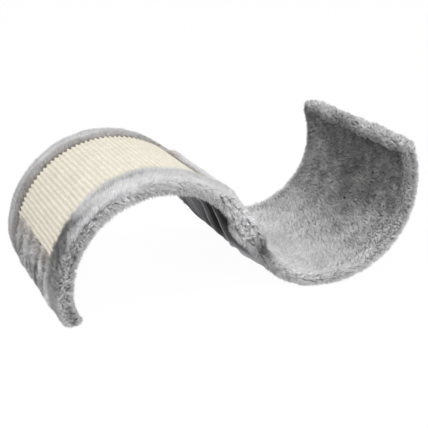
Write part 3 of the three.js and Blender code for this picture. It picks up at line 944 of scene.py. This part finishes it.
def saddle_coat(s, y):
    """Combed towards the cradle, standing up and warm beside the mat, with a painted shadow line at the
    mat's edge.
    """
    return {
        "lean": [0.55 - 1.5 * hill(s, MAT_HIGH, 0.016), 0.0],
        "length": 1.05,
        "gather": 0.3,
        "curl": 0.2,
        # painted shadow line along the mat's edge
        "tone": 1.0 - 0.15 * hill(s, MAT_HIGH, 0.005),
        "warm": 0.5 * hill(s, MAT_HIGH, 0.004) + 0.3 * hill(s, MAT_HIGH, 0.012) * smooth(y, 0.0, 0.05),
    }


def seat_swell(s, y):
    """The seat rises with the fold of the front rim beside it."""
    return join_fold(s, RIM + y)


saddle_range = (MAT_HIGH + GAP, -GAP / 2)
seat_range = (GAP / 2, LIP_START - GAP)
seat_half = RIM - CRADLE_BORDER - GAP
panel("saddle_panel", saddle_range, MAT_HALF, saddle_coat, saddle_swell, 106)
panel("seat_panel", seat_range, seat_half, seat_coat, seat_swell, 107, parts=3)

# Rolled edge of the cradle

LIP_CROWN = 0.0085  # how far the roll's middle reaches past its ends
LIP_HILL = (0.0045, 0.052, 0.028)  # height, middle and width of its highest stretch
LIP_CLOSED = 0.98  # how far the roll is drawn together at its ends
LIP_HEM_STEP = 0.0005  # from the roll to where its hem lies flat
LIP_HEM_SHORT = 0.05  # share of the hem that is left beside the bands' hems


def lip_points(inset):
    """The roll's section as (length along the wave, height), from the seat over the edge and back."""
    radius = LIP_THICK - inset
    low, high = LIP_MIDDLE[1] - radius, LIP_MIDDLE[1] + radius
    return [(LIP_START, high), *arc(LIP_MIDDLE, radius, 90, -90, 24), (LIP_START, low)]


def crown(s, y):
    """How far the roll reaches beyond its plain section."""
    share = (s - LIP_START) / LIP_WIDTH
    height, middle, width = LIP_HILL
    return share * (LIP_CROWN * (1 - (y / RIM) ** 4) + height * hill(y, middle, width))


def lip_coat(c, y):
    """In loose puffs, with painted shade where the roll meets the seat. c is the length round the roll."""
    puff = flat_noise(c, y, (0.03, 0.022), 71)
    start = 0.002 + 0.006 * smooth(y, 0.03, 0.12) + 0.003 * smooth(y, 0.0, -0.06)
    under = 1 - smooth(c, start, start + 0.008)
    return {
        "lean": [0.3 + 0.2 * puff, 0.3 * puff],
        "length": 1.1 + 0.15 * puff - 0.3 * under,
        "gather": 0.65,
        "curl": 0.6,
        # painted shade on the roll's underside where it meets the seat
        "tone": (0.86 + 0.24 * puff) * (1 - 0.36 * under),
        "warm": 0.0,
    }


def lip_pile(seed):
    section = Outline(lip_points(0), lip_points(LIP_THICK))
    closed = LIP_CLOSED * LIP_THICK
    front = arc((LIP_ROUND - RIM, LIP_ROUND), LIP_ROUND, 180, 270)
    rear = arc((RIM - LIP_ROUND, LIP_ROUND), LIP_ROUND, 270, 360)
    across = Path([(-RIM, closed), *front, *rear, (RIM, closed)])

    def place(c, b):
        y, inset = across(b)
        s, n = section(c, inset / LIP_THICK)
        return wave(s + crown(s, y), n, y)

    def coat(c, b):
        return lip_coat(c, across(b)[0])

    surface = Surface(place, (0.0, section.length), (0.0, across.length), 1)
    return grow("lip_band_pile", surface, seed, coat, lock=LIP_LOCK, swell=LIP_SWELL)


def lip_band(seed):
    pile = lip_pile(seed)
    roll = lip_points(ROOTS)
    hem = LIP_START - (LIP + PILE - HEM)
    half = RIM - ROOTS
    loops = []
    for y in stations(-half, half, WIDTH_STEP):
        share = 1.0 if abs(y) < RIM - HEM - GAP else LIP_HEM_SHORT
        line = [*roll, (LIP_START - LIP_HEM_STEP, -HEM_LOW), (LIP_START - share * hem, -HEM_LOW)]
        s, n = thin_loop(line, CLOTH).T
        loops.append(wave(s + np.maximum(crown(s, y), 0), n, y))
    cover("lip_band", loops)


lip_band(108)

# Sisal mat

RIB_POINTS = 12  # along the wave, over one rib
MAT_STEP = 0.0115  # between points across the mat, as a share of half its width
MAT_UNDER_POINTS = 14
STITCH = 0.0033  # length of one stitch of yarn along a rib
TOOTH = 0.0028  # how far the ribs' rear ends stand out past the valleys
TOOTH_OVER = 0.0012  # how far they reach past the mat's plain edge
TOOTH_RAGGED = 0.0005  # how unevenly they are cut
WOBBLE, WOBBLE_SIZE = 0.0005, (0.7, 0.011)  # how far ribs wander, and how often
LUMPS, LUMPS_SIZE = 0.00025, (0.012, 0.02)  # height and size of the lumps in the yarn
FRAYED_AND_SHADED = (0.005, 0.001)  # from the rear edge to where the warm fraying and its painted shade start and are full
CUT = 0.0035  # width of the cut lower edge


def mat_row(s, rib, across, seed):
    """A row of points over the mat and back below it, and how high, light and warm they are."""
    round_top = 0.5 - 0.5 * np.cos(2 * np.pi * across)
    tooth = TOOTH * abs(2 * across - 1)
    edge = MAT_HALF + TOOTH_OVER - tooth + TOOTH_RAGGED * lattice(np.array([int(rib), 3, 4]), seed)
    share = stations(-1, 1, MAT_STEP)
    y = np.where(share < 0, MAT_HALF, edge) * share
    wobble = WOBBLE * flat_noise(rib, y, WOBBLE_SIZE, seed + 1)
    twist = y / STITCH + 0.5 * rib + 0.5 * across
    yarn = np.abs(np.sin(np.pi * twist)) ** 0.7
    lumps = flat_noise(s, y, LUMPS_SIZE, seed)
    top = FACE + MAT_GROUND + (RIB_HEIGHT * round_top * (0.7 + 0.3 * yarn) + LUMPS * lumps)
    under = np.linspace(edge, -MAT_HALF, MAT_UNDER_POINTS)
    points = np.concatenate([wave(s + wobble, top, y), wave(s, FACE, under)])
    frayed_and_shaded = smooth(y, MAT_HALF - FRAYED_AND_SHADED[0], MAT_HALF - FRAYED_AND_SHADED[1]) * (1 - smooth(round_top, 0.3, 0.8))
    cut = smooth(s, MAT_LOW + CUT, MAT_LOW)
    stitch = np.stack([np.floor(twist), np.full_like(y, rib), 0 * y], axis=-1).astype(np.int64)
    # painted shadow of the front band's pile along the mat's front edge
    shaded = 0.18 * smooth(y, 0.008 - MAT_HALF, -MAT_HALF) * span(s, *MAT_EDGE_SHADOW)
    below = np.ones_like(under)
    rise = np.concatenate([round_top * (0.5 + 0.5 * yarn), 0.0 * below])
    # the valleys of the frayed rear ends carry painted shade as well as a warm colour
    light = 1 + 0.03 * lumps + 0.05 * lattice(stitch, 91) - 0.4 * frayed_and_shaded - shaded
    tone = np.concatenate([light, 0.7 * below])
    warm = np.concatenate([np.clip(0.9 * frayed_and_shaded + 0.6 * cut, 0, 1), 0.5 * below])
    return points, rise, tone, warm


def sisal_mat(seed):
    """Ribs of yarn across the width, rounder and frayed at their rear ends, on a woven ground."""
    length = (MAT_HIGH - MAT_LOW) * (1 + (FACE + MAT_GROUND) / ARCH_RADIUS)
    ribs = round(length / RIB_PITCH)
    rows = []
    for place in np.arange(ribs * RIB_POINTS + 1) / RIB_POINTS:
        rib = np.floor(place)
        s = MAT_HIGH + (MAT_LOW - MAT_HIGH) * place / ribs
        rows.append(mat_row(s, rib, place - rib, seed))
    loops, rise, tone, warm = (np.array(column) for column in zip(*rows))
    values = {"rise": rise, "tone": tone, "warm": warm}
    mat = loft("sisal_mat_yarn", loops, sisal_look, values)
    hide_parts("sisal_mat")


sisal_mat(109)

# Lining of the underside

LINING_SEEN = 0.095  # length of it that is seen on each side of the join
LINING_STEP, LINING_SEEN_STEP, LINING_WIDTH_STEP = 0.003, 0.0014, 0.0018
LINING_SLANT = 0.4  # sideways run of its soft folds
# Creases of the lining, from and to (length along the wave, y), and how high they stand
CREASES = [
    ((-0.015, 0.094), (0.040, 0.046), 0.0012),
    ((-0.025, 0.072), (0.040, 0.015), 0.0012),
    ((-0.040, 0.002), (0.045, -0.022), 0.0026),
    ((-0.030, -0.049), (0.045, -0.066), 0.0024),
    ((0.034, -0.025), (0.046, -0.100), 0.0026),
    ((0.020, -0.075), (0.075, -0.098), 0.0018),
    ((-0.110, 0.030), (-0.030, 0.090), 0.0010),
    ((-0.260, -0.070), (-0.160, -0.030), 0.0008),
    ((-0.330, 0.020), (-0.230, 0.075), 0.0010),
    ((0.150, 0.070), (0.260, 0.020), 0.0008),
    ((0.200, -0.060), (0.330, -0.085), 0.0010),
    ((0.270, 0.040), (0.350, 0.080), 0.0008),
]


def crease_height(s, y):
    """How far the creases lift the lining, and where their ridges carry painted highlights."""
    height, ridge_highlight = 0.0 * y, 0.0 * y
    for (s0, y0), (s1, y1), size in CREASES:
        long = math.hypot(s1 - s0, y1 - y0)
        cos, sin = (s1 - s0) / long, (y1 - y0) / long
        along = (s - s0) * cos + (y - y0) * sin
        off = (y - y0) * cos - (s - s0) * sin + 0.004 * np.sin(along / 0.02)
        ends = smooth(along, 0, 0.25 * long) * smooth(long - along, 0, 0.25 * long)
        height = height + size * ends * (hill(off, 0, 0.0045) - 0.35 * hill(off, 0.009, 0.006))
        ridge_highlight = ridge_highlight + ends * (hill(off, 0, 0.0017) + 0.12 * hill(off, -0.004, 0.006)) * size / 0.0025
    return height, ridge_highlight


def lining_light_and_shade(s, y, fold, ridge_highlight):
    """Painted light and shade: highlights on its ridges, light on its low edge and its rear, shade in its
    folds and near the join, and a shadow of the front rim; plainer away from the join.
    """
    near = hill(s, 0.0, 0.1)
    plain = 1.5 - 0.7 * near + (0.3 + 1.3 * near) * fold
    low_edge_light = hill(s, 0.050, 0.018) * smooth(y, -0.01, -0.05)
    rear = hill(s, 0.0, 0.07) * smooth(y, -0.01, 0.02)
    # painted highlights on the ridges and painted light on the low edge and the rear
    painted_light = (3.0 + 14.0 * near) * ridge_highlight + 8.5 * low_edge_light + 4.0 * rear
    # painted shadow of the front rim
    rim_shadow = hill(s, -0.012, 0.022) * smooth(y, -0.055, -0.072)
    return np.clip((plain + painted_light) * (1 - 0.85 * rim_shadow), 0.2, 11)


def underside_lining():
    half = RIM - ROLL - GAP
    first, last = FOOT_ROLL + GAP, LIP_START - GAP
    y = stations(-half, half, LINING_WIDTH_STEP)
    rows = [
        stations(first, -LINING_SEEN, LINING_STEP)[:-1],
        stations(-LINING_SEEN, LINING_SEEN, LINING_SEEN_STEP)[:-1],
        stations(LINING_SEEN, last, LINING_STEP),
    ]
    loops, tones = [], []
    for s in np.concatenate(rows):
        height, ridge_highlight = crease_height(s, y)
        slanted = y + LINING_SLANT * s
        fold = flat_noise(s, slanted, (0.05, 0.016), 81) + 0.8 * flat_noise(s, slanted, (0.03, 0.006), 82)
        slack = 0.0045 * hill(s, 0.03, 0.028) * (1 - (y / half) ** 4)
        lift = np.maximum(height + 0.0007 * fold + slack, -0.0008)
        low = -LINING_IN - LINING - lift
        loops.append(np.concatenate([wave(s, low, y), wave(s, low + LINING, y)[::-1]]))
        tone = lining_light_and_shade(s, y, fold, ridge_highlight)
        tones.append(np.concatenate([tone, tone[::-1]]))
    cloth = loft("underside_lining_cloth", loops, lining_look, {"tone": np.array(tones)})
    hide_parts("underside_lining")


underside_lining()

# Boards, strip, screws and staples keep their solids
looks = {"plywood": plywood_material(), "steel": steel_material()}
for part in frame["record"]["subparts"]:
    look = looks.get(part["material_slot"])
    if look:
        materials = frame["nodes"][part["node"]].data.materials
        materials.clear()
        materials.append(look)

# Camera, light and floor

FRAME_PIXELS = 428
FOCAL_PIXELS = 974.2
AZIMUTH, ELEVATION, DISTANCE = -0.395, 0.325, 1.3737
TARGET = (0.01193, 0.0, 0.07066)
SURROUND = 0.44  # light from the surround
FLOOR_REACH = 4
FLOOR_GREY = (0.9, 0.9, 0.9, 1)
FLOOR_GLOW, FLOOR_GLOW_SHARE = 1.025, 0.95  # how white the floor is to the camera


def aim(thing, target):
    thing.rotation_euler = (Vector(target) - thing.location).to_track_quat("-Z", "Y").to_euler()


def place_camera():
    """The photograph's camera."""
    data = bpy.data.cameras.new("camera")
    data.lens = FOCAL_PIXELS * data.sensor_width / FRAME_PIXELS
    camera = put("camera", data)
    level = math.cos(ELEVATION)
    back = (math.sin(AZIMUTH) * level, -math.cos(AZIMUTH) * level, math.sin(ELEVATION))
    camera.location = [t + DISTANCE * k for t, k in zip(TARGET, back)]
    aim(camera, TARGET)
    scene.camera = camera


def soft_box(name, place, target, size, power):
    data = bpy.data.lights.new(name, "AREA")
    data.shape = "RECTANGLE"
    data.size, data.size_y = size
    data.energy = power
    light = put(name, data)
    light.location = place
    aim(light, target)


def studio_world():
    """A dim, even surround, white where it is seen or reflected."""
    world = bpy.data.worlds.new("studio")
    scene.world = world
    world.use_nodes = True
    tree = world.node_tree
    rays = add_node(tree, "ShaderNodeLightPath").outputs
    seen = rays["Is Camera Ray"]
    for kind in ("Is Glossy Ray", "Is Transmission Ray"):
        either = add_node(tree, "ShaderNodeMath", {0: seen, 1: rays[kind]})
        either.operation = "MAXIMUM"
        seen = either.outputs["Value"]
    strength = add_node(tree, "ShaderNodeMapRange", {"Value": seen, "To Min": SURROUND})
    fill(tree, tree.nodes["Background"], {"Color": (1, 1, 1, 1), "Strength": strength.outputs["Result"]})


def studio_floor():
    """A pale floor that is nearly white to the camera and keeps a faint shadow."""
    mesh = bpy.data.meshes.new("floor")
    corners = [(x * FLOOR_REACH, y * FLOOR_REACH, 0) for x, y in ((-1, -1), (1, -1), (1, 1), (-1, 1))]
    mesh.from_pydata(corners, [], [(0, 1, 2, 3)])
    put("floor", mesh)
    look = Look("floor", roughness=0.9)
    mesh.materials.append(look.shade({"Base Color": FLOOR_GREY}))
    tree = look.tree
    seen = add_node(tree, "ShaderNodeLightPath").outputs["Is Camera Ray"]
    share = add_node(tree, "ShaderNodeMath", {0: seen, 1: FLOOR_GLOW_SHARE})
    share.operation = "MULTIPLY"
    glow = add_node(tree, "ShaderNodeEmission", {"Strength": FLOOR_GLOW}).outputs["Emission"]
    blends = {"Fac": share.outputs["Value"], 1: look.shader.outputs["BSDF"], 2: glow}
    blend = add_node(tree, "ShaderNodeMixShader", blends)
    fill(tree, tree.nodes["Material Output"], {"Surface": blend.outputs["Shader"]})


place_camera()
soft_box("overhead", (-0.45, -0.35, 1.5), target=(0, 0, 0.05), size=(1.4, 1.2), power=16)
soft_box("front_fill", (0.2, -1.6, 0.7), target=(0, 0, 0.1), size=(1.4, 0.9), power=14)
studio_world()
studio_floor()
scene.view_settings.view_transform = "Standard"
